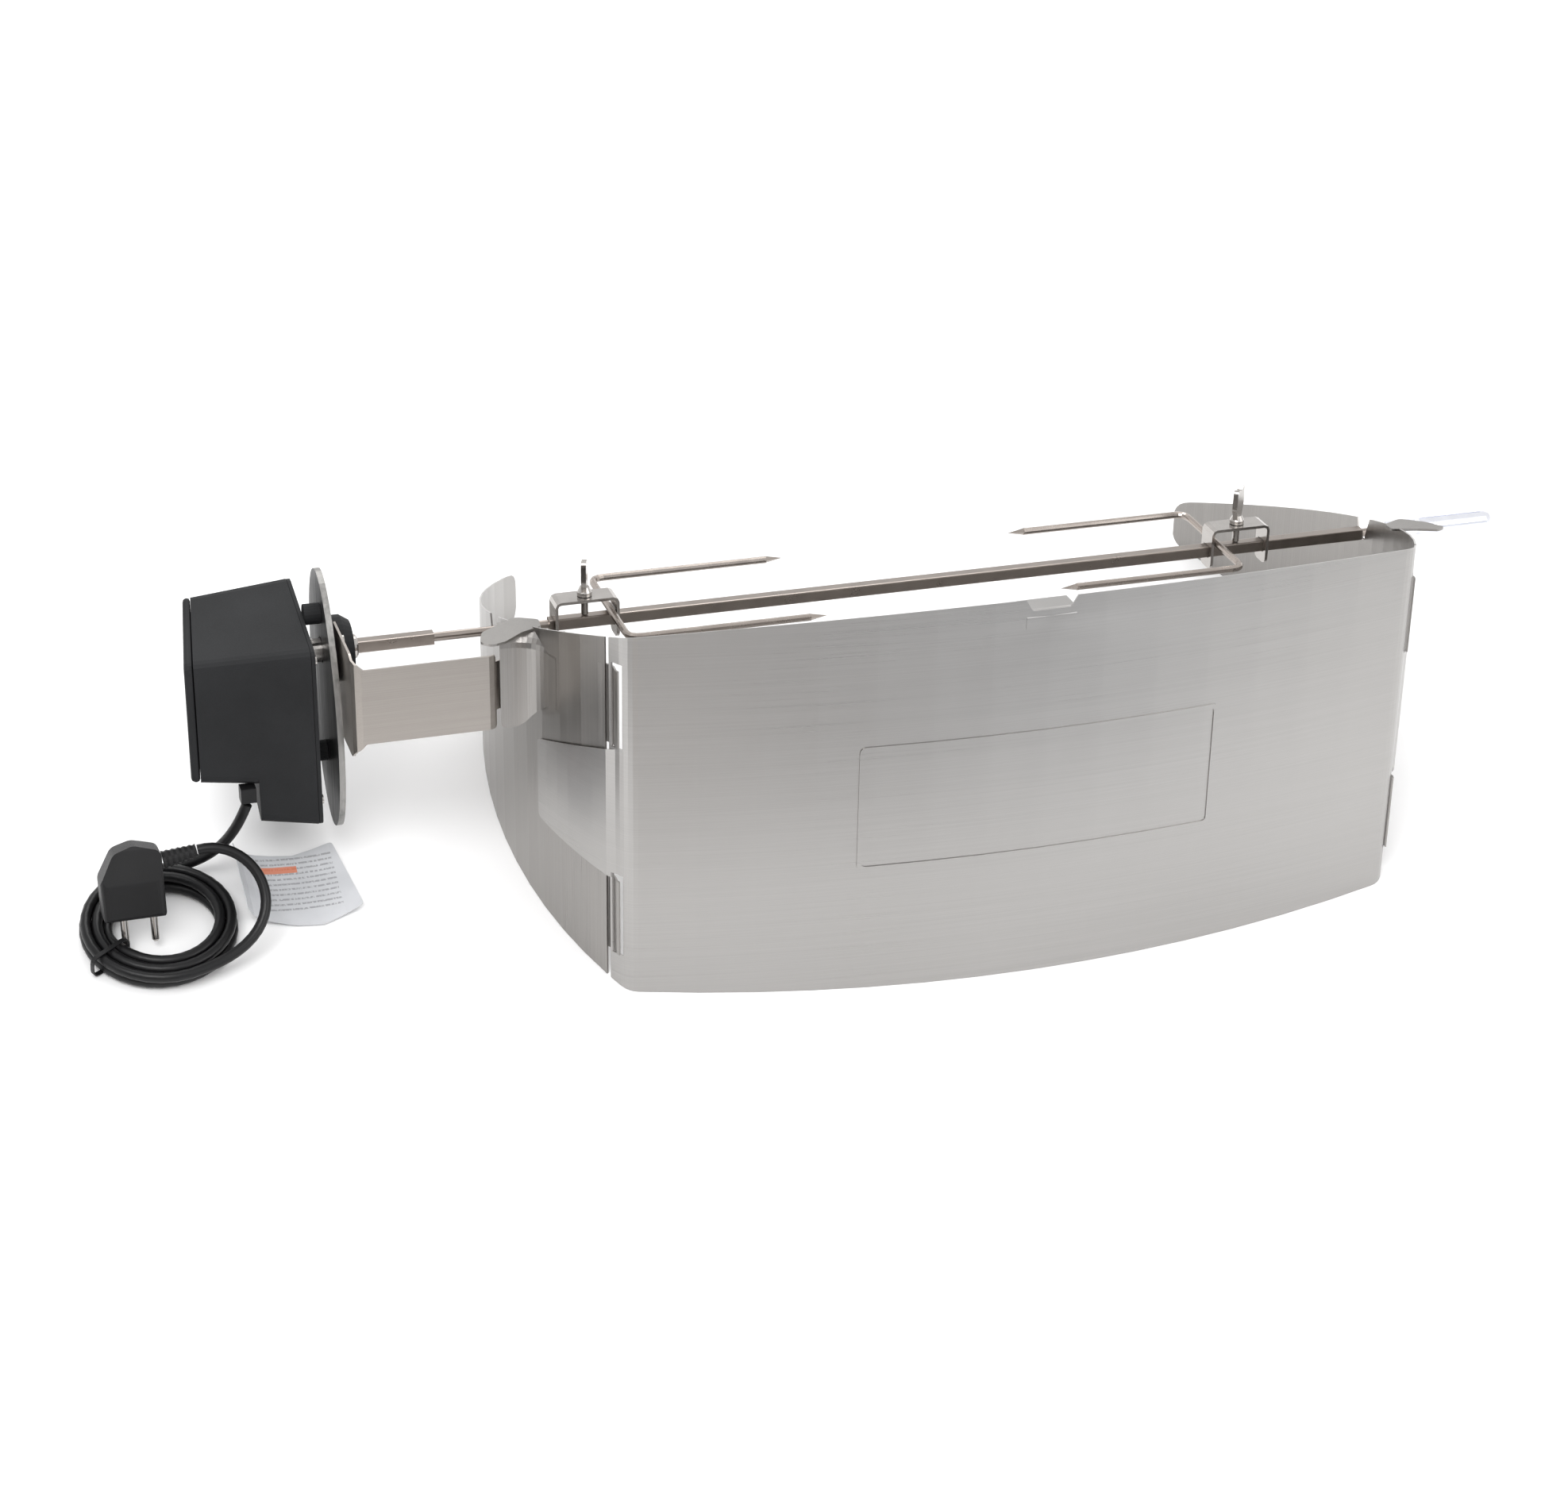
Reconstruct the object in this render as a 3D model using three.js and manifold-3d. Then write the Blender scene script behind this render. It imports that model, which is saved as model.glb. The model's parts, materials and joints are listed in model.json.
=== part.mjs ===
// Rotisserie kit for a kettle-style grill: a three-piece wedge surround, a spit with two forks,
// and a geared motor on a bracket, with its cord coiled on the floor. Millimetres, +Z up.
import * as THREE from "three";
import { mergeVertices } from "three/addons/utils/BufferGeometryUtils.js";
import Module from "manifold-3d";

const wasm = await Module();
wasm.setup();

// Driving dimensions. The kit frame has X across the front, Y to the back and Z up the front
// panel; the whole kit leans back by BASE_SLOPE so that its bottom edges stand on a level floor.
const BASE_SLOPE = THREE.MathUtils.degToRad(18);
const LID_SLOPE = THREE.MathUtils.degToRad(16.5);
const SHEET = 1.2;
const FRONT_HALF = 270;
const FRONT_HEIGHT = 252;
const FRONT_RADIUS = 1230;
const FRONT_BOW = 30;
const SIDE_RADIUS = 318;
const SIDE_CENTRE_Y = 168;
const SIDE_START_Y = 16.5;
const SIDE_END_Y = 352;
const FLANGE_END_Y = 13.5;
const HOOK_RANGES = [[25, 79], [174, 228]];

const SPIT_Y = 161;
const SPIT_Z = 193;
const SPIT_SQUARE = 8;
const SPIT_NECK = 3;
const SPIT_DRIVE_END = -440;
const SPIT_NECKS = [[-359, -281], [316, 356]];
const HANDLE_START = 335;
const HANDLE_END = 420;
const HANDLE_RADIUS = 6.2;

const FORK_WIRE = 2.5;
const FORK_HALF_SPACING = 50.5;
const FORK_BEND = 9;
const FORKS = [
  { name: "left", clampX: -256, wireX: -239, tipX: -102 },
  { name: "right", clampX: 218, wireX: 201, tipX: 65 },
];

const HOUSING_RIGHT = -447.8;
const HOUSING_LEFT = -522;
const HOUSING_STEP_X = -485;
const WALL = 2.5;
const SHIELD_X = -433.6;
const GEAR_MODULE = 1.25;
const PINION_TEETH = 10;
const FIRST_GEAR_TEETH = 44;
const OUTPUT_TEETH = 36;
const FIRST_PLANE = [-482, -476];
const SECOND_PLANE = [-468, -460];

const CORD_RADIUS = 3.5;
const COIL_CENTRE = new THREE.Vector3(-556, 105.5, 4.8);
const COIL_OUTER = 50.8;
const COIL_PITCH = 7.3;
const COIL_LAYER = 7.5;
const COIL_START = THREE.MathUtils.degToRad(92);
const COIL_TURNS = 4 + 202 / 360;

const STEEL = { color: 0xb9b6b0, roughness: 0.32, metalness: 0.95 };
const PLATED = { color: 0xc6c5c2, roughness: 0.25, metalness: 0.95 };
const BLACK = { color: 0x242527, roughness: 0.62, metalness: 0.0 };
const RUBBER = { color: 0x161719, roughness: 0.5, metalness: 0.0 };
const COPPER = { color: 0xa8602f, roughness: 0.4, metalness: 0.8 };
const BRASS = { color: 0xb08a45, roughness: 0.35, metalness: 0.85 };
const NYLON = { color: 0xe6e2d6, roughness: 0.55, metalness: 0.0 };
const PAPER = { color: 0xd9dbdf, roughness: 0.85, metalness: 0.0 };

const group = new THREE.Group();
const kitToRoom = new THREE.Matrix4().makeRotationX(-BASE_SLOPE);

// --- solids, joins and cuts ---

function solid(geometry) {
  const bare = geometry.clone();
  bare.deleteAttribute("normal");
  bare.deleteAttribute("uv");
  const merged = mergeVertices(bare, 1e-4);
  return new wasm.Manifold(
    new wasm.Mesh({
      numProp: 3,
      vertProperties: merged.attributes.position.array,
      triVerts: new Uint32Array(merged.index.array),
    }),
  );
}

function join(...geometries) {
  return geometries.map(solid).reduce((sum, next) => sum.add(next));
}

function asGeometry(body) {
  const mesh = body.getMesh();
  const indexed = new THREE.BufferGeometry();
  indexed.setAttribute("position", new THREE.BufferAttribute(mesh.vertProperties, 3));
  indexed.setIndex(new THREE.BufferAttribute(mesh.triVerts, 1));
  const flat = indexed.toNonIndexed();
  flat.computeVertexNormals();
  return flat;
}

function add(name, shape, finish, inKit = true) {
  const geometry = shape.isBufferGeometry ? shape.clone() : asGeometry(shape);
  if (inKit) geometry.applyMatrix4(kitToRoom);
  const mesh = new THREE.Mesh(geometry, new THREE.MeshStandardMaterial(finish));
  mesh.name = name;
  group.add(mesh);
  return mesh;
}

// --- outlines and basic shapes ---

// A closed outline through corners [a, b, radius], each corner rounded by its own radius.
function outline(corners) {
  const shape = new THREE.Shape();
  corners.forEach(([a, b, radius = 0], i) => {
    const here = new THREE.Vector2(a, b);
    const before = new THREE.Vector2(...corners.at(i - 1).slice(0, 2));
    const after = new THREE.Vector2(...corners[(i + 1) % corners.length].slice(0, 2));
    const into = before.sub(here);
    const out = after.sub(here);
    const half = into.angleTo(out) / 2;
    const trim = radius ? Math.min(radius / Math.tan(half), 0.49 * into.length(), 0.49 * out.length()) : 0;
    const start = here.clone().addScaledVector(into.normalize(), trim);
    const end = here.clone().addScaledVector(out.normalize(), trim);
    if (i === 0) shape.moveTo(start.x, start.y);
    else shape.lineTo(start.x, start.y);
    if (radius) shape.quadraticCurveTo(here.x, here.y, end.x, end.y);
  });
  shape.closePath();
  return shape;
}

const box = (a0, a1, b0, b1, radius = 0) =>
  outline([[a0, b0, radius], [a1, b0, radius], [a1, b1, radius], [a0, b1, radius]]);

function circle(a, b, radius) {
  const shape = new THREE.Shape();
  shape.absarc(a, b, radius, 0, 2 * Math.PI);
  return shape;
}

function prism(shape, depth, curveSegments = 5) {
  return new THREE.ExtrudeGeometry(shape, { depth, bevelEnabled: false, curveSegments });
}

// Outline in (Y, Z), filled from x0 to x1.
function alongX(shape, x0, x1, curveSegments) {
  const basis = new THREE.Matrix4().makeBasis(
    new THREE.Vector3(0, 1, 0), new THREE.Vector3(0, 0, 1), new THREE.Vector3(1, 0, 0));
  return prism(shape, x1 - x0, curveSegments).applyMatrix4(basis).translate(x0, 0, 0);
}

// Outline in (X, Z), filled from y0 to y1.
function alongY(shape, y0, y1, curveSegments) {
  const basis = new THREE.Matrix4().makeBasis(
    new THREE.Vector3(1, 0, 0), new THREE.Vector3(0, 0, 1), new THREE.Vector3(0, -1, 0));
  return prism(shape, y1 - y0, curveSegments).applyMatrix4(basis).translate(0, y1, 0);
}

// Outline in (X, Y), filled from z0 to z1.
function alongZ(shape, z0, z1, curveSegments) {
  return prism(shape, z1 - z0, curveSegments).translate(0, 0, z0);
}

function rodX(y, z, radius, x0, x1, sides = 24) {
  return alongX(circle(y, z, radius), x0, x1, sides / 2);
}

// The outline of a strip of even thickness that follows a line of points.
function strip(points, thickness) {
  const side = (sign) =>
    points.map((point, i) => {
      const back = points[Math.max(i - 1, 0)];
      const ahead = points[Math.min(i + 1, points.length - 1)];
      const along = ahead.clone().sub(back).normalize();
      return new THREE.Vector2(-along.y, along.x).multiplyScalar((sign * thickness) / 2).add(point);
    });
  return new THREE.Shape([...side(-1), ...side(1).reverse()]);
}

// A round bar swept through points, with flat ends.
function sweep(points, radius, sides = 8) {
  const positions = [];
  const index = [];
  const tangentAt = (i) =>
    points[Math.min(i + 1, points.length - 1)].clone().sub(points[Math.max(i - 1, 0)]).normalize();
  let across = new THREE.Vector3(0.31, 0.2, 0.93);
  points.forEach((point, i) => {
    const tangent = tangentAt(i);
    across = across.addScaledVector(tangent, -across.dot(tangent)).normalize();
    const other = tangent.clone().cross(across);
    for (let k = 0; k < sides; k += 1) {
      const angle = (2 * Math.PI * k) / sides;
      const rim = point.clone()
        .addScaledVector(across, radius * Math.cos(angle))
        .addScaledVector(other, radius * Math.sin(angle));
      positions.push(rim.x, rim.y, rim.z);
    }
    if (i === 0) return;
    for (let k = 0; k < sides; k += 1) {
      const a = (i - 1) * sides + k;
      const b = (i - 1) * sides + ((k + 1) % sides);
      index.push(a, b, b + sides, a, b + sides, a + sides);
    }
  });
  const last = (points.length - 1) * sides;
  for (let k = 1; k < sides - 1; k += 1) {
    index.push(0, k + 1, k);
    index.push(last, last + k, last + k + 1);
  }
  const geometry = new THREE.BufferGeometry();
  geometry.setAttribute("position", new THREE.Float32BufferAttribute(positions, 3));
  geometry.setIndex(index);
  return geometry;
}

// Points round a corner, from one tangent point to the other.
function corner(start, peak, end, count = 4) {
  const bend = new THREE.QuadraticBezierCurve3(start, peak, end);
  return bend.getPoints(count);
}

// --- the surround: a bowed front panel and two curved side panels ---

const baseZ = (y) => y * Math.tan(BASE_SLOPE);
const LID_CROWN = 6;
const lidZ = (y) => FRONT_HEIGHT - y * Math.tan(LID_SLOPE)
  + LID_CROWN * Math.sin(Math.PI * THREE.MathUtils.clamp((y - 175) / 177, 0, 1));
const sidePoint = (y, side, extra = 0) => {
  const angle = Math.asin((y - SIDE_CENTRE_Y) / SIDE_RADIUS);
  const radius = SIDE_RADIUS + extra;
  return new THREE.Vector2(side * radius * Math.cos(angle), SIDE_CENTRE_Y + radius * Math.sin(angle));
};

function sideRun(side, from, to, step, extra = 0) {
  const count = Math.max(1, Math.round((to - from) / step));
  return Array.from({ length: count + 1 }, (_, i) => sidePoint(from + ((to - from) * i) / count, side, extra));
}

function frontPlan() {
  const half = Math.asin((FRONT_HALF - 6.5) / FRONT_RADIUS);
  const centreY = FRONT_RADIUS - FRONT_BOW;
  const arc = Array.from({ length: 15 }, (_, i) => {
    const angle = half * (i / 7 - 1);
    return new THREE.Vector2(FRONT_RADIUS * Math.sin(angle), centreY - FRONT_RADIUS * Math.cos(angle));
  });
  const bend = (side) => {
    const nearest = side < 0 ? arc[0] : arc.at(-1);
    const peak = sidePoint(0, side);
    return new THREE.QuadraticBezierCurve(nearest, peak, sidePoint(5.7, side)).getPoints(4).slice(1);
  };
  const flange = (side) => [...bend(side), sidePoint(9.5, side), sidePoint(FLANGE_END_Y, side)];
  return [...flange(-1).reverse(), ...arc, ...flange(1)];
}

// The wedge seen from the side, between two Y values.
const wedge = (from, to, frontRadius, backRadius) => outline([
  [from, baseZ(from), frontRadius],
  [to, baseZ(to), backRadius],
  [to, lidZ(to), backRadius],
  [from, lidZ(from), frontRadius],
]);

function lapTab(side) {
  const run = [sidePoint(9, side), ...sideRun(side, 15, 83, 11, 1.6)];
  const tab = solid(alongZ(strip(run, SHEET), 60, 200));
  const shape = outline([[7, 78.5], [83, 93, 6], [83, 149, 6], [7, 172.5]]);
  const reach = [side * 250, side * 345].sort((a, b) => a - b);
  return tab.intersect(solid(alongX(shape, ...reach)));
}

function acrossSide(shape, side, near, far) {
  return solid(alongX(shape, Math.min(side * near, side * far), Math.max(side * near, side * far)));
}

function frontPanel() {
  const sheet = solid(alongZ(strip(frontPlan(), SHEET), -40, 300));
  let panel = sheet.intersect(solid(alongX(wedge(-FRONT_BOW - 4, FLANGE_END_Y + 4, 0, 0), -300, 300)));
  for (const side of [-1, 1]) {
    panel = panel.add(lapTab(side));
    for (const [low, high] of HOOK_RANGES)
      panel = panel.subtract(acrossSide(box(3.4, 11.7, low - 0.6, high + 4), side, 250, 300));
  }
  const crest = lidZ(-FRONT_BOW);
  const notch = outline([
    [-13, crest - 8, 3], [13, crest - 8, 3], [19, crest + 2], [19, crest + 20], [-19, crest + 20], [-19, crest + 2],
  ]);
  panel = panel.subtract(solid(alongY(notch, -60, 0)));
  const y = -FRONT_BOW;
  const fold = [
    [y, crest - 20], [y, crest - 12.5], [y + 1, crest - 9.8], [y + 3.5, crest - 8.8], [y + 18, crest - 8.8],
  ];
  const tab = alongX(strip(fold.map((p) => new THREE.Vector2(...p)), SHEET), -17, 17);
  panel = panel.add(solid(tab));
  const frame = box(-124, 124, 79.5, 168.5, 5);
  frame.holes.push(box(-121, 121, 82.5, 165.5, 3));
  const raised = solid(alongZ(strip(frontPlan(), SHEET + 1.4), 60, 190));
  return panel.add(raised.intersect(solid(alongY(frame, -60, -20))));
}

function hook(side, low, high) {
  const steps = [[22, 0], [19.5, 0], [16.5, -1.9], [12.3, -2.0], [9.4, -0.2], [7.2, 1.5], [5.0, 2.0]];
  const run = steps.map(([y, extra]) => sidePoint(y, side, extra));
  return solid(alongZ(strip(run, SHEET), low, high));
}

// A sheet of even thickness on a curved surface, given as surface(i, j) over a grid.
function curvedSheet(surface, across, along, thickness) {
  const grid = Array.from({ length: across + 1 }, (_, i) =>
    Array.from({ length: along + 1 }, (_, j) => surface(i, j)));
  const between = (a, b) => b.clone().sub(a);
  const layer = (sign) => grid.flatMap((row, i) => row.map((point, j) => {
    const u = between(grid[Math.max(i - 1, 0)][j], grid[Math.min(i + 1, across)][j]);
    const v = between(row[Math.max(j - 1, 0)], row[Math.min(j + 1, along)]);
    return point.clone().addScaledVector(u.cross(v).normalize(), (sign * thickness) / 2);
  }));
  const vertices = [...layer(1), ...layer(-1)];
  const at = (i, j, below) => below * (across + 1) * (along + 1) + i * (along + 1) + j;
  const index = [];
  const quad = (a, b, c, d) => index.push(a, b, c, a, c, d);
  for (let i = 0; i < across; i += 1) {
    for (let j = 0; j < along; j += 1) {
      quad(at(i, j, 0), at(i + 1, j, 0), at(i + 1, j + 1, 0), at(i, j + 1, 0));
      quad(at(i, j, 1), at(i, j + 1, 1), at(i + 1, j + 1, 1), at(i + 1, j, 1));
    }
    quad(at(i, 0, 0), at(i, 0, 1), at(i + 1, 0, 1), at(i + 1, 0, 0));
    quad(at(i, along, 0), at(i + 1, along, 0), at(i + 1, along, 1), at(i, along, 1));
  }
  for (let j = 0; j < along; j += 1) {
    quad(at(0, j, 0), at(0, j + 1, 0), at(0, j + 1, 1), at(0, j, 1));
    quad(at(across, j, 0), at(across, j, 1), at(across, j + 1, 1), at(across, j + 1, 0));
  }
  const geometry = new THREE.BufferGeometry().setFromPoints(vertices);
  geometry.setIndex(index);
  return geometry;
}

// The ear folds out of the side panel: a leaf level with the rim and, where the motor hangs,
// a curved plate that sweeps out of the panel below it and rolls back into the leaf.
const EAR_TOP = 224.4;
const EAR_ROLL = 11;
function ear(side, withPlate) {
  const front = withPlate
    ? [[303, 90, 3], [317, 84, 8], [330, 73, 6], [340, 69.5, 6], [346, 76, 5], [342, 90, 8]]
    : [[303, 92, 3], [320, 88, 8], [334, 83, 4], [341, 86, 3]];
  const rim = [...front, [331, 98, 6], [316, 108, 7], [302, 101, 3]];
  const leaf = solid(alongZ(outline(rim), EAR_TOP - 0.8, EAR_TOP + 0.8));
  let whole = leaf;
  if (withPlate) {
    const plan = new THREE.CatmullRomCurve3([
      [299.9, 62], [304.5, 75], [311, 83], [320, 87], [331, 88.2],
    ].map(([x, y]) => new THREE.Vector3(x, y, 0)));
    const profile = [[0, 150], [0, EAR_TOP - EAR_ROLL]];
    for (let k = 1; k <= 5; k += 1) {
      const turn = (k * Math.PI) / 10;
      profile.push([EAR_ROLL * (1 - Math.cos(turn)), EAR_TOP - EAR_ROLL * (1 - Math.sin(turn))]);
    }
    profile.push([EAR_ROLL + 4, EAR_TOP]);
    const surface = (i, j) => {
      const along = plan.getTangent(i / 12);
      const [back, z] = profile[j];
      return plan.getPoint(i / 12).add(new THREE.Vector3(-along.y * back, along.x * back, z));
    };
    const sheet = solid(curvedSheet(surface, 12, profile.length - 1, 1.4));
    const face = outline([
      [290, 182], [303, 177, 8], [318, 157.5, 14], [331, 157, 4], [331, 210, 5], [335, 216], [335, 235],
      [290, 235],
    ]);
    const plate = sheet.intersect(solid(alongY(face, 50, 110)));
    const inside = solid(alongZ(outline([
      [290, 78], [303, 72], [345, 72], [345, 120], [309.4, 120], [309.4, 90], [303, 84],
    ]), 200, 240));
    const lower = solid(alongZ(outline([[290, 50], [345, 50], [345, 120], [290, 120]]), 140, 216));
    whole = whole.add(plate.intersect(lower.add(inside)));
  }
  return side > 0 ? whole : whole.mirror([1, 0, 0]);
}

function sidePanel(side) {
  const plan = sideRun(side, SIDE_START_Y, SIDE_END_Y, 21);
  const sheet = solid(alongZ(strip(plan, SHEET), -20, 300));
  let panel = sheet.intersect(acrossSide(wedge(SIDE_START_Y - 5, SIDE_END_Y, 3, 15), side, 240, 330));
  const notchTop = lidZ(SPIT_Y) + 4;
  const notch = outline([
    [SPIT_Y - 5.5, SPIT_Z - SPIT_NECK - 0.4, 5], [SPIT_Y + 5.5, SPIT_Z - SPIT_NECK - 0.4, 5],
    [SPIT_Y + 5.5, SPIT_Z], [SPIT_Y + 11, notchTop], [SPIT_Y - 11, notchTop], [SPIT_Y - 5.5, SPIT_Z],
  ]);
  panel = panel.subtract(acrossSide(notch, side, 300, 330));
  for (const [low, high] of HOOK_RANGES) panel = panel.add(hook(side, low, high));
  return panel.add(ear(side, side < 0));
}

add("front_panel", frontPanel(), STEEL);
add("left_side_panel", sidePanel(-1), STEEL);
add("right_side_panel", sidePanel(1), STEEL);

// --- spit, handle and forks ---

function spitRod() {
  const half = SPIT_SQUARE / 2;
  const square = box(SPIT_Y - half, SPIT_Y + half, SPIT_Z - half, SPIT_Z + half, 0.8);
  const [drive, free] = SPIT_NECKS;
  return join(
    alongX(square, SPIT_DRIVE_END, drive[0], 2),
    rodX(SPIT_Y, SPIT_Z, SPIT_NECK, drive[0] - 1, drive[1] + 1, 16),
    alongX(square, drive[1], free[0], 2),
    rodX(SPIT_Y, SPIT_Z, SPIT_NECK, free[0] - 1, HANDLE_START + 20, 16),
  );
}

function handle() {
  const bore = SPIT_NECK + 0.35;
  const profile = [
    [bore, 0], [HANDLE_RADIUS - 1, 0], [HANDLE_RADIUS, 1.2], [HANDLE_RADIUS, 20], [HANDLE_RADIUS - 0.7, 22],
    [HANDLE_RADIUS - 0.7, 24], [HANDLE_RADIUS, 26], [HANDLE_RADIUS, 79], [5, 82.5], [2.6, 84.4], [0, 85],
    [0, 21], [bore, 21], [bore, 0],
  ].map(([r, h]) => new THREE.Vector2(r, h));
  const grip = new THREE.LatheGeometry(profile, 24);
  const basis = new THREE.Matrix4().makeBasis(
    new THREE.Vector3(0, 0, 1), new THREE.Vector3(1, 0, 0), new THREE.Vector3(0, 1, 0));
  grip.applyMatrix4(basis).translate(HANDLE_START, SPIT_Y, SPIT_Z);
  const slit = box(SPIT_Y - 0.6, SPIT_Y + 0.6, SPIT_Z + 5.2, SPIT_Z + 8);
  const groove = solid(alongX(slit, HANDLE_START + 28, HANDLE_END - 9));
  return solid(grip).subtract(groove);
}

function forkClamp({ clampX }) {
  const foot = SPIT_Z - 12;
  const top = SPIT_Z + 17;
  const end = 21;
  const path = [
    [-end, foot], [-end, top - 3], [-end + 0.9, top - 0.9], [-end + 3, top],
    [end - 3, top], [end - 0.9, top - 0.9], [end, top - 3], [end, foot],
  ].map(([x, z]) => new THREE.Vector2(clampX + x, z));
  const staple = solid(alongY(strip(path, 2), SPIT_Y - 8.5, SPIT_Y + 8.5));
  const rounding = outline([
    [SPIT_Y - 8.5, foot, 5], [SPIT_Y + 8.5, foot, 5], [SPIT_Y + 8.5, top + 2, 1], [SPIT_Y - 8.5, top + 2, 1],
  ]);
  const window = SPIT_SQUARE / 2 + 0.35;
  const opening = box(SPIT_Y - window, SPIT_Y + window, SPIT_Z - window, SPIT_Z + window);
  const passage = alongX(opening, clampX - 30, clampX + 30);
  const screwHole = alongZ(circle(clampX, SPIT_Y, 2.9), top - 5, top + 5, 8);
  return staple
    .intersect(solid(alongX(rounding, clampX - 30, clampX + 30)))
    .subtract(solid(passage))
    .subtract(solid(screwHole));
}

function forkProngs({ wireX, tipX }) {
  const toTip = Math.sign(tipX - wireX);
  const z = SPIT_Z + SPIT_SQUARE / 2 + FORK_WIRE + 0.5;
  const at = (x, y) => new THREE.Vector3(x, y, z);
  const half = FORK_HALF_SPACING;
  const pointStart = tipX - toTip * 12;
  const bend = wireX + toTip * FORK_BEND;
  const path = [
    at(pointStart, SPIT_Y - half),
    ...corner(at(bend, SPIT_Y - half), at(wireX, SPIT_Y - half), at(wireX, SPIT_Y - half + FORK_BEND)),
    ...corner(at(wireX, SPIT_Y + half - FORK_BEND), at(wireX, SPIT_Y + half), at(bend, SPIT_Y + half)),
    at(pointStart, SPIT_Y + half),
  ];
  const points = [-half, half].map((offset) =>
    new THREE.ConeGeometry(FORK_WIRE * 1.1, 13, 4)
      .rotateZ((-toTip * Math.PI) / 2)
      .translate(tipX - toTip * 6.5, SPIT_Y + offset, z));
  return join(sweep(path, FORK_WIRE, 10), ...points);
}

function thumbscrew({ clampX }, turn) {
  const tip = SPIT_Z + SPIT_SQUARE / 2 + 0.35;
  const plateTop = SPIT_Z + 18;
  const profile = [
    [0, tip], [2.0, tip], [2.4, tip + 0.6], [2.4, plateTop + 0.4], [5, plateTop + 0.4], [5, plateTop + 3],
    [3.2, plateTop + 6.5], [0, plateTop + 6.5],
  ].map(([r, z]) => new THREE.Vector2(r, z));
  const stem = new THREE.LatheGeometry(profile, 16).rotateX(Math.PI / 2);
  const wing = outline([
    [-4, plateTop + 3], [4, plateTop + 3, 2], [9, plateTop + 13, 5], [8, plateTop + 28, 6],
    [0, plateTop + 25, 6], [-8, plateTop + 28, 6], [-9, plateTop + 13, 5], [-4, plateTop + 3, 2],
  ].slice(1));
  return join(stem, alongY(wing, -1.7, 1.7)).rotate([0, 0, turn]).translate([clampX, SPIT_Y, 0]);
}

add("spit_rod", spitRod(), PLATED);
add("spit_handle", handle(), PLATED);
FORKS.forEach((fork, i) => {
  add(`${fork.name}_fork_clamp`, forkClamp(fork), PLATED);
  add(`${fork.name}_fork_prongs`, forkProngs(fork), PLATED);
  add(`${fork.name}_thumbscrew`, thumbscrew(fork, i === 0 ? 72 : 50), PLATED);
});

// --- bracket, heat shield and bearing boss ---

const ARM_Y = 88;
const ARM_LEFT = -426;

function bracketArm() {
  const plan = [
    [ARM_LEFT, 150], [ARM_LEFT, ARM_Y + 5], [ARM_LEFT + 1.5, ARM_Y + 1.5], [ARM_LEFT + 5, ARM_Y],
    [-338, ARM_Y], [-335, ARM_Y + 1], [-332, ARM_Y + 3], [-329, ARM_Y + 3.6], [-316, ARM_Y + 3.6],
  ].map((p) => new THREE.Vector2(...p));
  const strap = solid(alongZ(strip(plan, 1.6), 130, 230));
  const face = outline([
    [ARM_LEFT - 2, 143, 4], [ARM_LEFT + 1.5, 143], [ARM_LEFT + 1.5, 151], [ARM_LEFT + 7, 157, 2], [-333.4, 157, 3],
    [-333.4, 170], [-314, 170, 3], [-314, 204, 3], [-333.4, 204], [-333.4, 209, 3], [ARM_LEFT + 7, 209, 2],
    [ARM_LEFT + 1.5, 214], [ARM_LEFT + 1.5, 217], [ARM_LEFT - 2, 217, 4],
  ]);
  const boss = solid(rodX(SPIT_Y, SPIT_Z, 24, ARM_LEFT - 8, ARM_LEFT + 8, 32));
  const flange = outline([[84, 156, 5], [98, 144, 8], [160, 144], [160, 217], [98, 217, 8], [84, 211, 5]]);
  const keep = join(
    alongX(flange, ARM_LEFT - 10, ARM_LEFT + 7),
    alongX(box(80, 160, 130, 230), ARM_LEFT + 7, -300),
  );
  return strap.intersect(solid(alongY(face, 80, 160))).intersect(keep).subtract(boss);
}

const SHIELD_CENTRE = [157, 160];
const SHIELD_HALF_WIDTH = 44;
const SHIELD_HALF_HEIGHT = 87;
const SHIELD_RIM = 4;
const SHIELD_TURN = THREE.MathUtils.degToRad(-11);

// An oval dished plate that keeps the heat off the motor.
function heatShield() {
  const oval = (inset) => {
    const shape = new THREE.Shape();
    const half = [SHIELD_HALF_WIDTH - inset, SHIELD_HALF_HEIGHT - inset];
    shape.absellipse(...SHIELD_CENTRE, ...half, 0, 2 * Math.PI, false, SHIELD_TURN);
    return shape;
  };
  const pan = solid(alongX(oval(0), SHIELD_X, SHIELD_X + SHIELD_RIM, 24));
  const inside = solid(alongX(oval(SHEET), SHIELD_X + SHEET, SHIELD_X + 10, 24));
  const shaft = solid(rodX(SPIT_Y, SPIT_Z, 9, SHIELD_X - 2, SHIELD_X + 4));
  return pan.subtract(inside).subtract(shaft);
}

function bearingBoss() {
  const x = SHIELD_X + SHEET + 0.3;
  const profile = [
    [9, 0], [22, 0], [22, 12], [18, 18], [11, 18], [9, 16.5], [9, 0],
  ].map(([r, h]) => new THREE.Vector2(r, h));
  const basis = new THREE.Matrix4().makeBasis(
    new THREE.Vector3(0, 0, 1), new THREE.Vector3(1, 0, 0), new THREE.Vector3(0, 1, 0));
  return new THREE.LatheGeometry(profile, 32).applyMatrix4(basis).translate(x, SPIT_Y, SPIT_Z);
}

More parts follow.
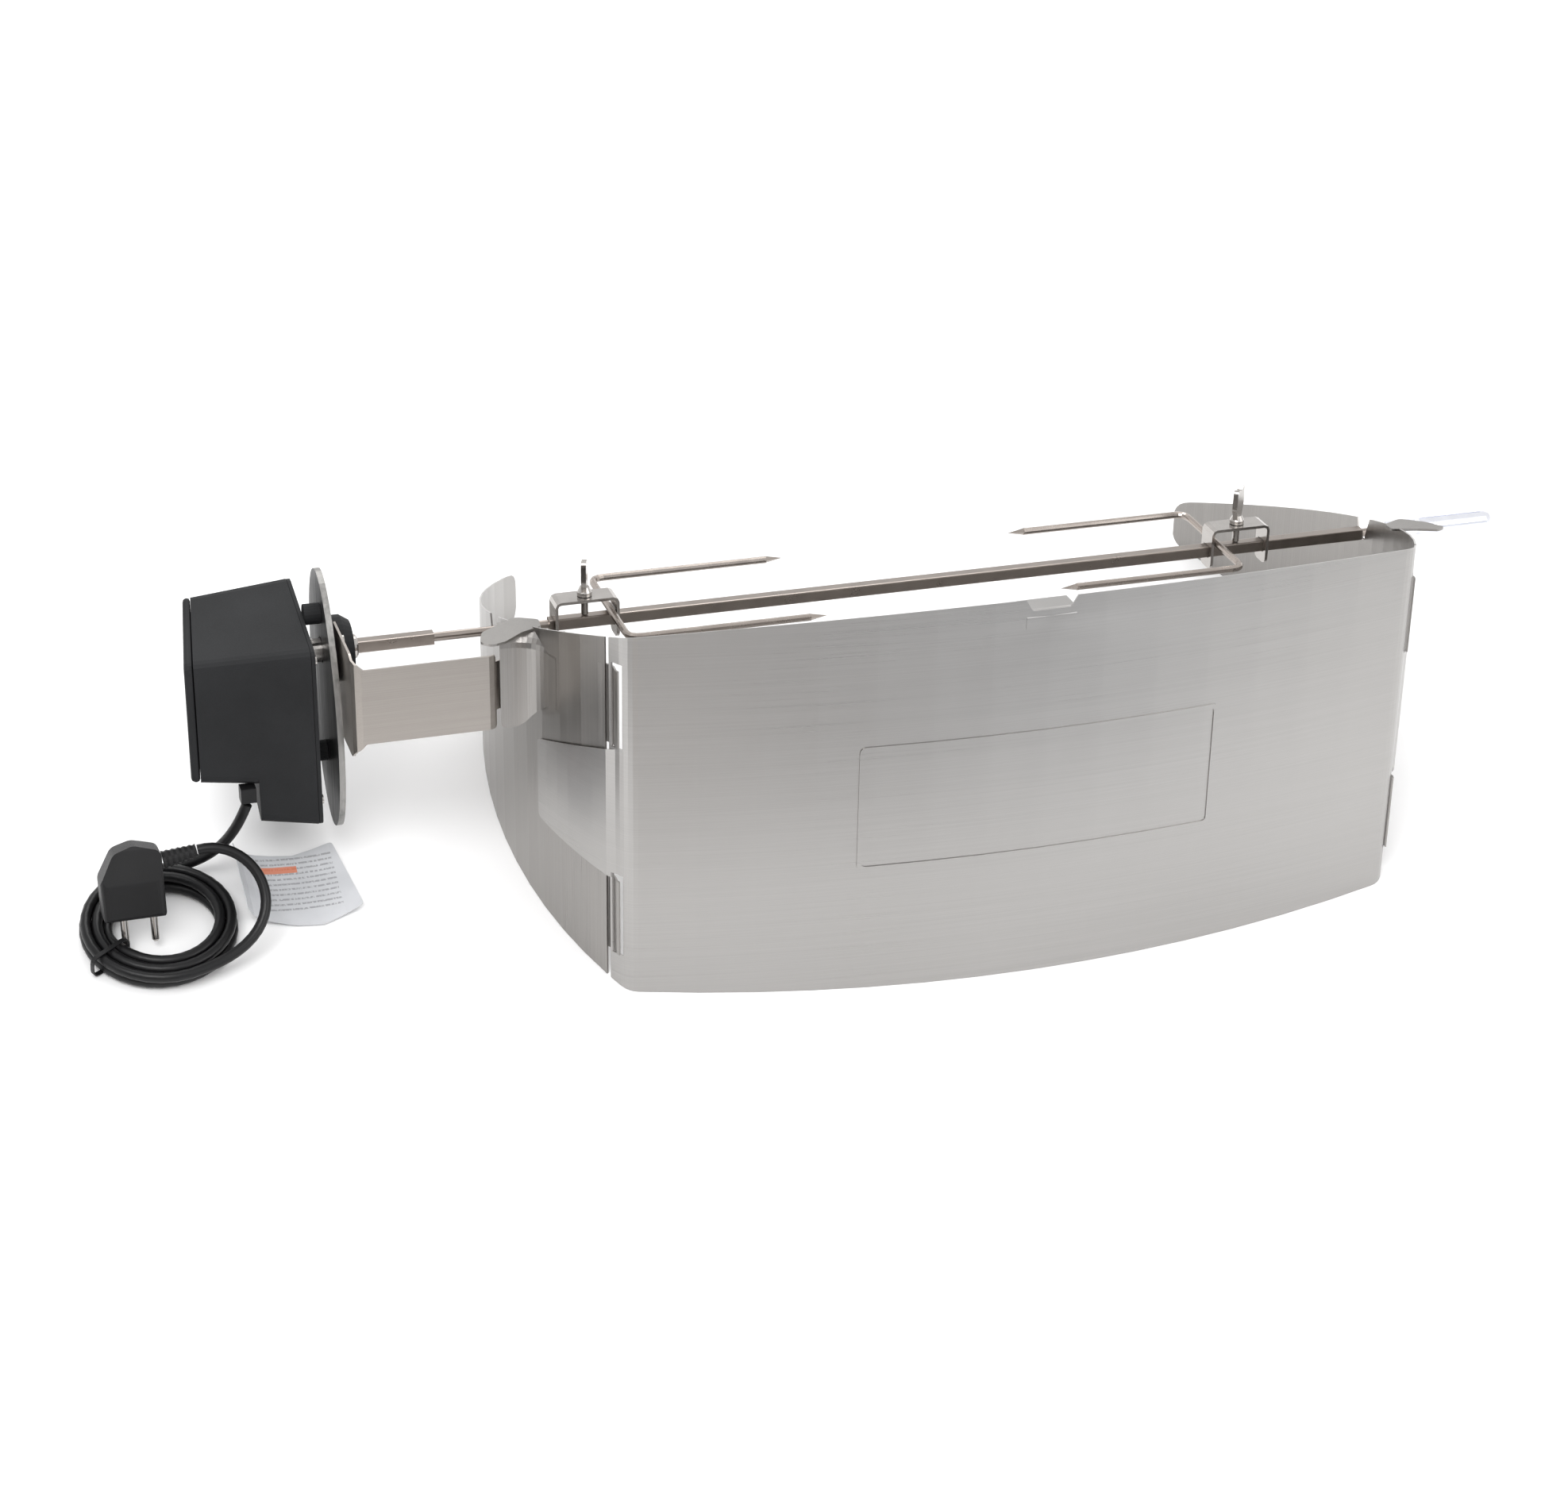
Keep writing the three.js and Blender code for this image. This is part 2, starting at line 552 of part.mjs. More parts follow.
add("bracket_arm", bracketArm(), STEEL);
add("heat_shield", heatShield(), STEEL);
add("bearing_boss", bearingBoss(), BLACK);
[["upper", 221], ["lower", 122]].forEach(([name, z]) => {
  add(`${name}_standoff`, rodX(157, z, 7, HOUSING_RIGHT + 3.1, SHIELD_X - 0.3, 20), BLACK);
});
[["upper", 209], ["lower", 151]].forEach(([name, z]) => {
  const head = rodX(136, z, 4, ARM_LEFT + 1.1, ARM_LEFT + 3.4, 16);
  add(`${name}_bracket_screw`, head, PLATED);
});

// --- motor housing, a drafted shell in three pieces ---

function tapered(geometry) {
  const at = geometry.attributes.position;
  for (let i = 0; i < at.count; i += 1) {
    const shrink = 1 - 0.0016 * (HOUSING_RIGHT - at.getX(i));
    at.setX(i, at.getX(i) + (1 - shrink) * (at.getY(i) - 114));
    at.setY(i, SPIT_Y + (at.getY(i) - SPIT_Y) * shrink);
    at.setZ(i, SPIT_Z + (at.getZ(i) - SPIT_Z) * shrink);
  }
  return geometry;
}

// The housing's section, moved in by an inset all round.
function section(bottom, inset) {
  const front = 114 + inset;
  const back = 207 - inset;
  const low = bottom + inset;
  const radius = Math.max(1.5, 7 - inset);
  return outline([
    [front, low, radius], [back, low, radius], [back, 229 - inset, radius], [front, 213 - inset, radius],
  ]);
}

const LOW = 88;
const HIGH = 117;

function housing() {
  const outer = join(
    tapered(alongX(section(HIGH, 0), HOUSING_LEFT, HOUSING_RIGHT, 3)),
    tapered(alongX(section(LOW, 0), HOUSING_STEP_X, HOUSING_RIGHT, 3)),
  );
  const inner = join(
    tapered(alongX(section(HIGH, WALL), HOUSING_LEFT - 5, HOUSING_RIGHT + 5, 2)),
    tapered(alongX(section(LOW, WALL), HOUSING_STEP_X + WALL, HOUSING_RIGHT + 5, 2)),
  );
  return outer.subtract(inner);
}

function housingCover() {
  const plate = solid(alongX(section(LOW, 0.2), HOUSING_RIGHT + 0.3, HOUSING_RIGHT + 2.8, 3));
  const shaft = solid(rodX(SPIT_Y, SPIT_Z, 9, HOUSING_RIGHT - 2, HOUSING_RIGHT + 6));
  return plate.subtract(shaft);
}

function endCover() {
  const cap = new THREE.ExtrudeGeometry(section(HIGH, 2.6), {
    depth: 1, bevelEnabled: true, bevelThickness: 2.4, bevelSize: 2.4, bevelSegments: 2, curveSegments: 3,
  });
  const basis = new THREE.Matrix4().makeBasis(
    new THREE.Vector3(0, 1, 0), new THREE.Vector3(0, 0, 1), new THREE.Vector3(1, 0, 0));
  const placed = tapered(cap.applyMatrix4(basis).translate(HOUSING_LEFT - 3.7, 0, 0));
  const keep = solid(tapered(alongX(box(80, 240, 80, 280), HOUSING_LEFT - 20, HOUSING_LEFT - 0.3)));
  return solid(placed).intersect(keep);
}

add("motor_housing", housing(), BLACK);
add("housing_cover", housingCover(), BLACK);
add("motor_end_cover", endCover(), BLACK);
[[124, 203], [197, 207], [124, 103], [197, 103]].forEach(([y, z], i) => {
  add(`cover_screw_${i + 1}`, rodX(y, z, 3, HOUSING_RIGHT + 3.1, HOUSING_RIGHT + 4.9, 14), PLATED);
});

// --- drive: rotor, two reductions and the hub that holds the spit ---

const INTERMEDIATE_Z = SPIT_Z - ((PINION_TEETH + OUTPUT_TEETH) / 2) * GEAR_MODULE;
const ROTOR_Z = INTERMEDIATE_Z + ((PINION_TEETH + FIRST_GEAR_TEETH) / 2) * GEAR_MODULE;

// A spur gear about an axis parallel to X. toothAt is the angle from +Y where one tooth is centred.
function gear(teeth, toothAt, axisZ, [x0, x1], bore) {
  const pitchRadius = (teeth * GEAR_MODULE) / 2;
  const root = pitchRadius - 1.2 * GEAR_MODULE;
  const tip = pitchRadius + 0.9 * GEAR_MODULE;
  const step = (2 * Math.PI) / teeth;
  const points = [];
  for (let i = 0; i < teeth; i += 1) {
    const centre = toothAt + i * step;
    for (const [radius, part] of [[root, -0.27], [tip, -0.1], [tip, 0.1], [root, 0.27]]) {
      const angle = centre + part * step;
      points.push(new THREE.Vector2(SPIT_Y + radius * Math.cos(angle), axisZ + radius * Math.sin(angle)));
    }
  }
  const shape = new THREE.Shape(points);
  shape.holes.push(circle(SPIT_Y, axisZ, bore));
  return alongX(shape, x0, x1, 10);
}

// A turned part about an axis parallel to X, from [x, radius] pairs that start and end on the axis.
function turned(axisZ, steps, sides = 24) {
  const profile = steps.map(([x, radius]) => new THREE.Vector2(radius, x));
  const basis = new THREE.Matrix4().makeBasis(
    new THREE.Vector3(0, 0, 1), new THREE.Vector3(1, 0, 0), new THREE.Vector3(0, 1, 0));
  return new THREE.LatheGeometry(profile, sides).applyMatrix4(basis).translate(0, SPIT_Y, axisZ);
}

const DOWN = -Math.PI / 2;
const UP = Math.PI / 2;
const PINION_GAP = Math.PI / PINION_TEETH;

function driveHub() {
  const body = turned(SPIT_Z, [
    [-474.9, 0], [-474.9, 4], [-458, 4], [-458, 8], [-411, 8], [-410, 7], [-410, 0],
  ]);
  const half = SPIT_SQUARE / 2 + 0.4;
  const socket = alongX(box(SPIT_Y - half, SPIT_Y + half, SPIT_Z - half, SPIT_Z + half), -446, -400);
  return solid(body).subtract(solid(socket));
}

function gearPlate() {
  const plate = solid(tapered(alongX(section(LOW, WALL + 0.4), -474.8, -473.3, 2)));
  return plate
    .subtract(solid(rodX(SPIT_Y, SPIT_Z, 4.4, -480, -470)))
    .subtract(solid(rodX(SPIT_Y, INTERMEDIATE_Z, 2.9, -480, -470)));
}

function stator() {
  const ring = circle(SPIT_Y, ROTOR_Z, 16);
  ring.holes.push(circle(SPIT_Y, ROTOR_Z, 11));
  return alongX(ring, -509, -487.5, 16);
}

add("drive_hub", driveHub(), PLATED);
add("output_gear", gear(OUTPUT_TEETH, DOWN, SPIT_Z, SECOND_PLANE, 4.35), NYLON);
add("intermediate_pinion", gear(PINION_TEETH, UP + PINION_GAP, INTERMEDIATE_Z, SECOND_PLANE, 2.85), BRASS);
add("intermediate_gear", gear(FIRST_GEAR_TEETH, UP, INTERMEDIATE_Z, FIRST_PLANE, 2.85), NYLON);
add("intermediate_shaft", rodX(SPIT_Y, INTERMEDIATE_Z, 2.5, -483.5, -452, 16), PLATED);
add("rotor_pinion", gear(PINION_TEETH, DOWN + PINION_GAP, ROTOR_Z, FIRST_PLANE, 2.35), BRASS);
add("rotor", turned(ROTOR_Z, [
  [-510, 0], [-510, 2], [-508, 2], [-508, 10], [-487, 10], [-487, 2], [-475.6, 2], [-475.6, 0],
]), PLATED);
add("stator_coil", stator(), COPPER);
add("gear_plate", gearPlate(), PLATED);

// --- cord, plug, tie and tag, all lying in the room's own frame ---

const toRoom = (x, y, z) => new THREE.Vector3(x, y, z).applyMatrix4(kitToRoom);
add("strain_relief_block", alongX(box(114.8, 125.2, 110.5, 121.4, 1.5), -497.5, -487.5, 2), RUBBER);

// The coil winds inward on the floor, climbs one layer, and winds outward again.
function coilPoint(turn) {
  const climb = 0.2;
  const half = (COIL_TURNS - climb) / 2;
  const angle = COIL_START + turn * 2 * Math.PI;
  const inward = Math.min(turn, half);
  const outward = Math.max(turn - half - climb, 0);
  const rise = THREE.MathUtils.clamp((turn - half) / climb, 0, 1);
  const radius = COIL_OUTER - COIL_PITCH * (inward - outward);
  return new THREE.Vector3(
    COIL_CENTRE.x + radius * Math.cos(angle),
    COIL_CENTRE.y + radius * Math.sin(angle),
    COIL_CENTRE.z + COIL_LAYER * THREE.MathUtils.smoothstep(rise, 0, 1),
  );
}

function coilPath() {
  const count = Math.round(COIL_TURNS * 22);
  return Array.from({ length: count + 1 }, (_, i) => coilPoint((COIL_TURNS * i) / count));
}

const coil = coilPath();
const coilStart = coil[0];
const coilEnd = coil.at(-1);
const runExit = toRoom(-493.5, 120, 108.2);
const runWay = toRoom(-5, 0, -12).normalize();
const coilStartWay = new THREE.Vector3(-Math.sin(COIL_START), Math.cos(COIL_START), 0);
const runCurve = new THREE.CubicBezierCurve3(
  runExit,
  runExit.clone().addScaledVector(runWay, 32),
  coilStart.clone().addScaledVector(coilStartWay, -40),
  coilStart.clone().addScaledVector(coilStartWay, -1),
);
add("cord_run", sweep(runCurve.getSpacedPoints(34), CORD_RADIUS, 10), RUBBER, false);

// The plug stands on its pins in the coil: its own frame has u to the side, v up its back
// and w out of its front face.
const PLUG_FOOT = new THREE.Vector3(-571, 103, 23);
const PLUG_TILT = THREE.MathUtils.degToRad(60);
const plugFrame = new THREE.Matrix4()
  .makeTranslation(PLUG_FOOT.x, PLUG_FOOT.y, PLUG_FOOT.z)
  .multiply(new THREE.Matrix4().makeRotationX(PLUG_TILT));
const RELIEF_LENGTH = 22;
const RELIEF_WAY = new THREE.Vector3(0.985, 0.17, 0).normalize().transformDirection(plugFrame);
const RELIEF_START = new THREE.Vector3(18.7, 34, 0).applyMatrix4(plugFrame);

// The cord's last stretch climbs off the coil in one bend and rises into the plug.
const reliefEnd = RELIEF_START.clone().addScaledVector(RELIEF_WAY, RELIEF_LENGTH + 1);
const coilWay = coilEnd.clone().sub(coil.at(-2)).normalize();
const tail = new THREE.CubicBezierCurve3(
  coilEnd,
  coilEnd.clone().addScaledVector(coilWay, 74).add(new THREE.Vector3(0, 0, 3)),
  reliefEnd.clone().addScaledVector(RELIEF_WAY, 40),
  reliefEnd,
).getSpacedPoints(20).slice(1);
add("cord_coil", sweep([...coil, ...tail], CORD_RADIUS, 10), RUBBER, false);

function plugBody() {
  const front = outline([[-23, 0, 4], [17.5, 0, 4], [17.5, 43, 6], [0, 48, 8], [-13, 44, 8], [-23, 26, 8]]);
  const side = outline([[0, -12, 4], [50, -9, 6], [50, 7, 6], [24, 13, 10], [0, 13, 4]]);
  const face = box(-23, 17.5, -12, 13, 5);
  return solid(alongZ(front, -15, 15))
    .intersect(solid(alongX(side, -30, 30)))
    .intersect(solid(alongY(face, -5, 60)))
    .transform(plugFrame.elements);
}

function plugPin(offset) {
  const profile = [
    [0, 0.3], [2.4, 0.3], [2.4, 17.5], [1.3, 19], [0, 19.3],
  ].map(([r, h]) => new THREE.Vector2(r, h));
  return new THREE.LatheGeometry(profile, 16)
    .rotateX(Math.PI)
    .translate(offset, 0, 0)
    .applyMatrix4(plugFrame);
}

function plugRelief() {
  const steps = Array.from({ length: 13 }, (_, i) => {
    const ring = i % 2 === 0 ? 0 : 0.7;
    return new THREE.Vector2(6.4 - 0.16 * i - ring, 0.2 + (RELIEF_LENGTH / 12) * i);
  });
  const profile = [new THREE.Vector2(0, 0.2), ...steps, new THREE.Vector2(0, steps.at(-1).y)];
  const turn = new THREE.Quaternion().setFromUnitVectors(new THREE.Vector3(0, 1, 0), RELIEF_WAY);
  return new THREE.LatheGeometry(profile, 16)
    .applyQuaternion(turn)
    .translate(RELIEF_START.x, RELIEF_START.y, RELIEF_START.z);
}

add("plug_body", plugBody(), RUBBER, false);
add("plug_pin_1", plugPin(-9.5), PLATED, false);
add("plug_pin_2", plugPin(9.5), PLATED, false);
add("plug_relief", plugRelief(), RUBBER, false);

function twistTie() {
  const ring = box(-15, 15, 0.2, 17.4, 6);
  ring.holes.push(box(-14.2, 14.2, 1, 16.6, 5.4));
  const angle = THREE.MathUtils.degToRad(212);
  const middle = COIL_OUTER - COIL_PITCH * 1.12;
  const flat = alongY(ring, -1.5, 1.5, 4).rotateZ(angle);
  return flat.translate(COIL_CENTRE.x + middle * Math.cos(angle), COIL_CENTRE.y + middle * Math.sin(angle), 0);
}

function cordTag() {
  const fold = [
    [-500.6, 17], [-499.2, 12.5], [-496.4, 8.4], [-492, 5.4], [-486, 3.6], [-476, 2], [-462, 1], [-448, 1.2],
    [-436, 2.4], [-424, 5.4],
  ].map((p) => new THREE.Vector2(...p));
  const band = solid(alongY(strip(fold, 0.4), 40, 180));
  const shape = outline([
    [-503, 104, 2], [-470, 95, 9], [-452, 93, 6], [-424, 103, 3], [-434, 165, 3], [-462, 158, 12], [-503, 162, 2],
  ]);
  return band.intersect(solid(alongZ(shape, -5, 40)));
}

add("twist_tie", twistTie(), RUBBER, false);
add("cord_tag", cordTag(), PAPER, false);

// --- the part's origin: middle of the bottom of everything but the cord ---

const CORD_NODES = new Set([
  "cord_run", "cord_coil", "plug_body", "plug_pin_1", "plug_pin_2", "plug_relief", "twist_tie", "cord_tag",
]);
const bounds = new THREE.Box3();
for (const mesh of group.children) if (!CORD_NODES.has(mesh.name)) bounds.expandByObject(mesh, true);
const middle = bounds.getCenter(new THREE.Vector3());
for (const mesh of group.children) mesh.geometry.translate(-middle.x, -middle.y, -bounds.min.z);

export default group;
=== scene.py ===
import json
import math

import bpy
from mathutils import Matrix, Vector


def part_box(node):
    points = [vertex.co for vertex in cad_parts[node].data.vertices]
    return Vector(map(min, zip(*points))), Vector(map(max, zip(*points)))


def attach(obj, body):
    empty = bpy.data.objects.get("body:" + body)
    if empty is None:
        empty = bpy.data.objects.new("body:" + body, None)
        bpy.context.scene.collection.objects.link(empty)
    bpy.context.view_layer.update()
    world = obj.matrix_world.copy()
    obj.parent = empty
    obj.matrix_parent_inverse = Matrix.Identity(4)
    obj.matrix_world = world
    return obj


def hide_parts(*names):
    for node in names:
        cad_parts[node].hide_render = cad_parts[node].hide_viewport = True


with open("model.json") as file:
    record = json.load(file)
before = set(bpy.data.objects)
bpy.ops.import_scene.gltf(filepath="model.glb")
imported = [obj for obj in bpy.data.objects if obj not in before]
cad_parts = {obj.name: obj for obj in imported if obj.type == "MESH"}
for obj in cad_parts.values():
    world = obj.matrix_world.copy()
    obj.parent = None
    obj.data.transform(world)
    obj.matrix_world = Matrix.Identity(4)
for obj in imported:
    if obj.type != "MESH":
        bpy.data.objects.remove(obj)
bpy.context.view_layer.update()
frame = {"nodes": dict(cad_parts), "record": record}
MM = 0.001

BASE_SLOPE = math.radians(18)
SPIT = Vector((0, 161, 193))
HUB_RIGHT_END = -410


def lean(x, y, z):
    return Matrix.Rotation(-BASE_SLOPE, 3, "X") @ Vector((x, y, z))


hub_low, hub_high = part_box("drive_hub")
spit_in_room = lean(*SPIT)
SHIFT = Vector((
    hub_high[0] / MM - HUB_RIGHT_END,
    (hub_low[1] + hub_high[1]) / 2 / MM - spit_in_room.y,
    (hub_low[2] + hub_high[2]) / 2 / MM - spit_in_room.z,
))


def kit(x, y, z):
    """A kit-frame point in millimetres, as a row-frame point in metres."""
    return (lean(x, y, z) + SHIFT) * MM


def room(x, y, z):
    """A point of the level room in millimetres, as a row-frame point in metres."""
    return (Vector((x, y, z)) + SHIFT) * MM


VIEW_AZIMUTH = math.radians(-18.017)
VIEW_ELEVATION = math.radians(26.323)
VIEW_ROLL = math.radians(1.063)
VIEW_DISTANCE = 2187.9
VIEW_TARGET = Vector((-147.28, 60, 133.87))
SENSOR_WIDTH = 36
FOCAL_LENGTH = 76.233
CLIP_NEAR = 0.05
CLIP_FAR = 20


def make_camera():
    data = bpy.data.cameras.new("camera")
    data.sensor_width = SENSOR_WIDTH
    data.lens = FOCAL_LENGTH
    data.clip_start = CLIP_NEAR
    data.clip_end = CLIP_FAR
    out = Vector((
        math.sin(VIEW_AZIMUTH) * math.cos(VIEW_ELEVATION),
        -math.cos(VIEW_AZIMUTH) * math.cos(VIEW_ELEVATION),
        math.sin(VIEW_ELEVATION),
    ))
    side = Vector((math.cos(VIEW_AZIMUTH), math.sin(VIEW_AZIMUTH), 0))
    up = out.cross(side)
    right = side * math.cos(VIEW_ROLL) + up * math.sin(VIEW_ROLL)
    top = up * math.cos(VIEW_ROLL) - side * math.sin(VIEW_ROLL)
    matrix = Matrix.Identity(4)
    for column, axis in enumerate((right, top, out)):
        for row, value in enumerate(lean(*axis)):
            matrix[row][column] = value
    matrix.translation = kit(*(VIEW_TARGET + out * VIEW_DISTANCE))
    camera = bpy.data.objects.new("camera", data)
    camera.matrix_world = matrix
    bpy.context.scene.collection.objects.link(camera)
    bpy.context.scene.camera = camera


make_camera()

# --- node helpers for the procedural finishes and the world ---

# The colour sockets of a Mix node.
MIX_A, MIX_B, MIX_RESULT = 6, 7, 2


class Nodes:
    """Adds nodes to one node tree."""

    def __init__(self, tree):
        self.tree = tree

    def node(self, kind, **settings):
        made = self.tree.nodes.new(kind)
        for key, value in settings.items():
            setattr(made, key, value)
        return made

    def link(self, a, b):
        self.tree.links.new(a, b)

    def split(self, vector):
        """The X, Y and Z of a vector."""
        split = self.node("ShaderNodeSeparateXYZ")
        self.link(vector, split.inputs[0])
        return split.outputs

    def math(self, operation, a, b=0):
        made = self.node("ShaderNodeMath", operation=operation)
        for socket, value in zip(made.inputs, (a, b)):
            if isinstance(value, (int, float)):
                socket.default_value = value
            else:
                self.link(value, socket)
        return made.outputs[0]

    def spread(self, value, low, high, start=0.0, end=1.0):
        """The value with start to end stretched over low to high."""
        remap = self.node("ShaderNodeMapRange")
        remap.inputs["From Min"].default_value = start
        remap.inputs["From Max"].default_value = end
        remap.inputs["To Min"].default_value = low
        remap.inputs["To Max"].default_value = high
        self.link(value, remap.inputs["Value"])
        return remap.outputs["Result"]

    def ramp(self, value, stops):
        ramp = self.node("ShaderNodeValToRGB")
        band = ramp.color_ramp
        while len(band.elements) < len(stops):
            band.elements.new(0.5)
        for element, (position, colour) in zip(band.elements, stops):
            element.position = position
            element.color = (*colour, 1)
        self.link(value, ramp.inputs["Fac"])
        return ramp.outputs["Color"]


class Shader(Nodes):
    """A material with its Principled BSDF."""

    def __init__(self, name):
        self.material = bpy.data.materials.new(name)
        self.material.use_nodes = True
        super().__init__(self.material.node_tree)
        self.bsdf = self.tree.nodes["Principled BSDF"]

    def feed(self, socket, value):
        self.link(value, self.bsdf.inputs[socket])

    def fix(self, socket, value):
        self.bsdf.inputs[socket].default_value = value

    def coords(self, scale=(1, 1, 1), upright=False):
        place = self.node("ShaderNodeTexCoord")
        turned = self.node("ShaderNodeMapping")
        turned.inputs["Rotation"].default_value = (BASE_SLOPE if upright else 0, 0, 0)
        self.link(place.outputs["Object"], turned.inputs["Vector"])
        mapping = self.node("ShaderNodeMapping")
        mapping.inputs["Scale"].default_value = scale
        self.link(turned.outputs["Vector"], mapping.inputs["Vector"])
        return mapping.outputs["Vector"]

    def blend(self, fraction, a, b):
        """A colour between a and b, where each is a colour or a socket."""
        mix = self.node("ShaderNodeMix", data_type="RGBA")
        self.link(fraction, mix.inputs["Factor"])
        for socket, value in zip((mix.inputs[MIX_A], mix.inputs[MIX_B]), (a, b)):
            if isinstance(value, tuple):
                socket.default_value = (*value, 1)
            else:
                self.link(value, socket)
        return mix.outputs[MIX_RESULT]

    def noise(self, vector, scale, detail, rough):
        noise = self.node("ShaderNodeTexNoise")
        noise.inputs["Scale"].default_value = scale
        noise.inputs["Detail"].default_value = detail
        noise.inputs["Roughness"].default_value = rough
        self.link(vector, noise.inputs["Vector"])
        return noise.outputs["Fac"]

    def bump(self, height, strength, distance):
        bump = self.node("ShaderNodeBump")
        bump.inputs["Strength"].default_value = strength
        bump.inputs["Distance"].default_value = distance
        self.link(height, bump.inputs["Height"])
        self.feed("Normal", bump.outputs["Normal"])


# Most values of a noise texture lie between these two.
NOISE_LOW, NOISE_HIGH = 0.3, 0.7
# Depths of the finest relief, in metres.
SCRATCH_DEPTH = 0.0001
PEBBLE_DEPTH = 0.0002


def brushed_steel(name, dark, light, roughness, grain):
    """Steel brushed one way: grain is small along the brushing and large across it."""
    fine_share, streak_share, cloud_share = 0.5, 0.15, 0.35
    streak_size = 7
    shader = Shader(name)
    fine = shader.noise(shader.coords(grain, upright=True), 1.0, 3.0, 0.55)
    wide_grain = tuple(g / streak_size for g in grain)
    streak = shader.noise(shader.coords(wide_grain, upright=True), 1.0, 2.0, 0.5)
    cloud = shader.noise(shader.coords(), 5.0, 2.0, 0.5)
    lines = shader.math(
        "ADD", shader.math("MULTIPLY", fine, fine_share), shader.math("MULTIPLY", streak, streak_share))
    tone = shader.math("ADD", lines, shader.math("MULTIPLY", cloud, cloud_share))
    shader.feed("Base Color", shader.ramp(tone, [(NOISE_LOW, dark), (NOISE_HIGH, light)]))
    rough = shader.spread(tone, roughness - 0.04, roughness + 0.05, NOISE_LOW, NOISE_HIGH)
    shader.feed("Roughness", rough)
    shader.fix("Metallic", 1.0)
    shader.fix("Anisotropic", 0.4)
    shader.bump(fine, 0.05, SCRATCH_DEPTH)
    return shader.material


def shield_steel():
    """Steel on the side that faces the food, and near-black non-metal on the side that faces the motor."""
    dark, light, near_black = (0.22, 0.22, 0.21), (0.36, 0.35, 0.34), (0.018, 0.018, 0.019)
    grain = (300, 300, 12)
    motor_side = -0.6
    shader = Shader("shield_steel")
    fine = shader.noise(shader.coords(grain, upright=True), 1.0, 3.0, 0.55)
    steel = shader.ramp(fine, [(NOISE_LOW, dark), (NOISE_HIGH, light)])
    normal = shader.node("ShaderNodeTexCoord").outputs["Normal"]
    facing = shader.math("LESS_THAN", shader.split(normal)[0], motor_side)
    # faces turned towards the motor (normal x below motor_side) get a near-black, non-metallic colour
    shader.feed("Base Color", shader.blend(facing, steel, near_black))
    shader.feed("Metallic", shader.spread(facing, 1.0, 0.0))
    shader.feed("Roughness", shader.spread(fine, 0.34, 0.5, NOISE_LOW, NOISE_HIGH))
    shader.bump(fine, 0.05, SCRATCH_DEPTH)
    return shader.material


def plated(name, colour, roughness):
    """Smooth metal with faint scuffs."""
    shader = Shader(name)
    scuff = shader.noise(shader.coords(), 90.0, 3.0, 0.5)
    rough = shader.spread(scuff, roughness - 0.03, roughness + 0.06, NOISE_LOW, NOISE_HIGH)
    shader.feed("Roughness", rough)
    light = tuple(min(1, c * 1.06) for c in colour)
    shader.feed("Base Color", shader.ramp(scuff, [(0.35, colour), (0.65, light)]))
    shader.fix("Metallic", 1.0)
    shader.bump(scuff, 0.02, SCRATCH_DEPTH)
    return shader.material


def moulded(name, colour, roughness, grain=2600.0, strength=0.25):
    """Plastic or rubber with a pebbled skin."""
    shader = Shader(name)
    pebble = shader.noise(shader.coords(), grain, 2.0, 0.5)
    cloud = shader.noise(shader.coords(), 22.0, 3.0, 0.5)
    light = tuple(c * 1.35 + 0.002 for c in colour)
    shader.feed("Base Color", shader.ramp(cloud, [(0.35, colour), (0.7, light)]))
    rough = shader.spread(pebble, roughness - 0.06, roughness + 0.08, NOISE_LOW, NOISE_HIGH)
    shader.feed("Roughness", rough)
    shader.fix("Specular IOR Level", 0.3)
    shader.bump(pebble, strength, PEBBLE_DEPTH)
    return shader.material


def paper_finish():
    """Pale card with a coloured heading bar and rows of marks too small to be letters."""
    dark_card, light_card = (0.50, 0.51, 0.53), (0.60, 0.61, 0.63)
    ink, heading_ink = (0.16, 0.16, 0.17), (0.66, 0.16, 0.05)
    row_pitch, row_share = 4.6, 0.36
    mark_scale, mark_level = (700, 217, 1), 0.46
    tag_low, tag_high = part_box("cord_tag")
    left, front = tag_low[0] / MM, tag_low[1] / MM
    right, back = tag_high[0] / MM, tag_high[1] / MM
    shader = Shader("tag_paper")
    fibre = shader.noise(shader.coords(), 900.0, 4.0, 0.6)
    cloud = shader.noise(shader.coords(), 30.0, 3.0, 0.5)
    card = shader.ramp(cloud, [(NOISE_LOW, dark_card), (NOISE_HIGH, light_card)])
    along, across, _ = shader.split(shader.coords((1 / MM, 1 / MM, 1 / MM)))

    def both(a, b):
        return shader.math("MULTIPLY", a, b)

    def inside(value, low, high):
        return both(shader.math("GREATER_THAN", value, low), shader.math("LESS_THAN", value, high))

    page = both(inside(along, left + 14, right - 12), inside(across, front + 14, back - 8))
    row = shader.math("LESS_THAN", shader.math("FRACT", shader.math("DIVIDE", across, row_pitch)), row_share)
    speckle = shader.noise(shader.coords(mark_scale), 1.0, 3.0, 0.7)
    printed = both(both(row, shader.math("GREATER_THAN", speckle, mark_level)), page)
    text = shader.blend(both(printed, 0.55), card, ink)
    heading = both(inside(along, left + 14, left + 40), inside(across, back - 22, back - 16))
    shader.feed("Base Color", shader.blend(both(heading, 0.8), text, heading_ink))
    shader.feed("Roughness", shader.spread(fibre, 0.7, 0.9, NOISE_LOW, NOISE_HIGH))
    shader.bump(fibre, 0.15, SCRATCH_DEPTH)
    return shader.material


